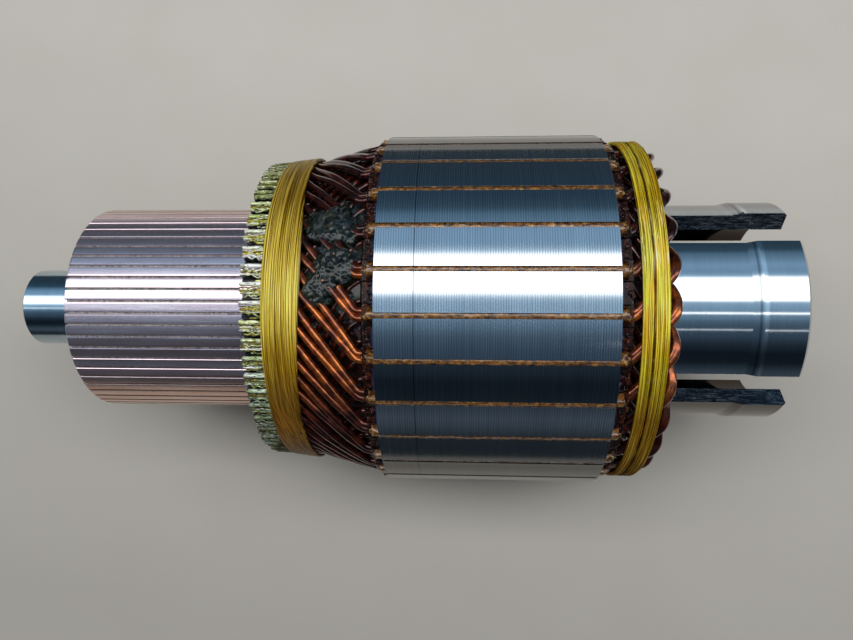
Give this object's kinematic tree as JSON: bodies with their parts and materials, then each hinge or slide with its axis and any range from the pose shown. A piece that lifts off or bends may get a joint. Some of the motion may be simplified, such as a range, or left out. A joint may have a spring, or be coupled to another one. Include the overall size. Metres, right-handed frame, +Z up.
{
  "type": "motor armature",
  "caption": "Wound armature with a commutator, glass-banded end windings, a slotted laminated core and a four-jaw drive tube",
  "frame": {"origin": "On the shaft axis, half way between the journal tip at the commutator end and the jaw end.", "axes": "+X runs along the shaft from the commutator end to the drive end, +Z is up as the armature lies on its core, and +Y completes the frame."},
  "size_m": [0.239, 0.11, 0.11],
  "materials": {
    "shaft_steel": "ground",
    "hub_moulding": "moulded",
    "bar_copper": "turned copper",
    "mica": "undercut",
    "riser_tinned": "tinned and varnished",
    "glass_band": "varnished glass strands",
    "varnished_coils": "varnished",
    "enamelled_wire": "enamelled",
    "putty": "rough resin",
    "end_insulation": "varnished",
    "core_steel": "turned laminations",
    "slot_wedge": "varnished fibre",
    "slot_liner": "varnished",
    "jaw_steel": "turned and milled"
  },
  "bodies": {
    "root": {"shaft": "shaft_steel", "commutator_hub": "hub_moulding", "commutator_bars": "bar_copper", "commutator_mica": "mica", "commutator_risers": "riser_tinned", "left_band": "glass_band", "left_coil_bed": "varnished_coils", "left_top_wires": "enamelled_wire", "balancing_putty": "putty", "left_end_insulation": "end_insulation", "core_short_stack": "core_steel", "core_long_stack": "core_steel", "slot_wedges": "slot_wedge", "slot_liners": "slot_liner", "coil_sides": "enamelled_wire", "right_end_insulation": "end_insulation", "right_coil_bed": "varnished_coils", "right_coil_noses": "enamelled_wire", "right_band": "glass_band", "drive_jaw_tube": "jaw_steel"}
  },
  "joints": []
}
